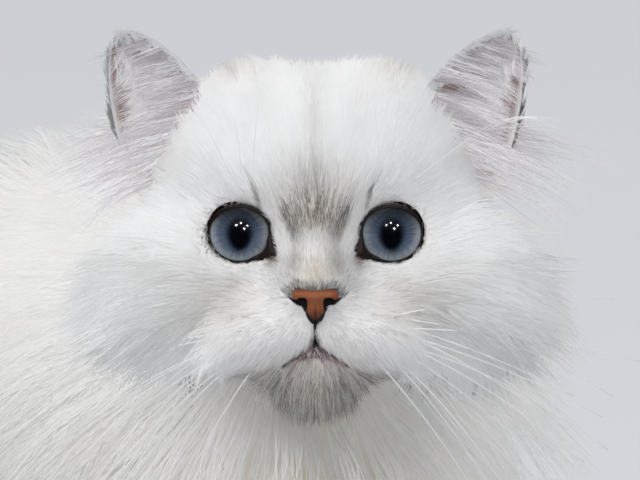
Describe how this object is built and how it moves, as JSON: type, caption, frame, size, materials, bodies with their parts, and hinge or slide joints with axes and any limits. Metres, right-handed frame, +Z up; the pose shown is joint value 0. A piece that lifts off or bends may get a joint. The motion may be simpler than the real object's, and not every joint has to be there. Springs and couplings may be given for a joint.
{
  "type": "persian cat",
  "caption": "Life-size long-haired Persian cat lying on its chest with its head raised and turned, forelegs forward and tail curled along its side.",
  "frame": {"origin": "on the floor, under the middle of the whole cat's box", "axes": "+Z up, +Y from the cat's chest to its rump along its back, +X to the cat's left"},
  "size_m": [0.3294, 0.5192, 0.256],
  "materials": {
    "coat": "long soft white coat with faint silver tipping",
    "face_coat": "short to medium white fur with grey-brown shading",
    "ear": "pinkish skin under short white fur",
    "nose_leather": "brick-red finely grained leather with a dark outline",
    "eye": "blue-grey iris under a clear wet cornea"
  },
  "bodies": {
    "root": {"chest": "coat", "ear_left": "ear", "ear_right": "ear", "eye_left": "eye", "eye_right": "eye", "fore_paw_left": "coat", "fore_paw_right": "coat", "foreleg_left": "coat", "foreleg_right": "coat", "head": "face_coat", "hind_foot_left": "coat", "hind_foot_right": "coat", "neck_ruff": "coat", "nose": "nose_leather", "tail_1": "coat", "tail_2": "coat", "tail_3": "coat", "thigh_left": "coat", "thigh_right": "coat", "torso": "coat"}
  },
  "joints": []
}
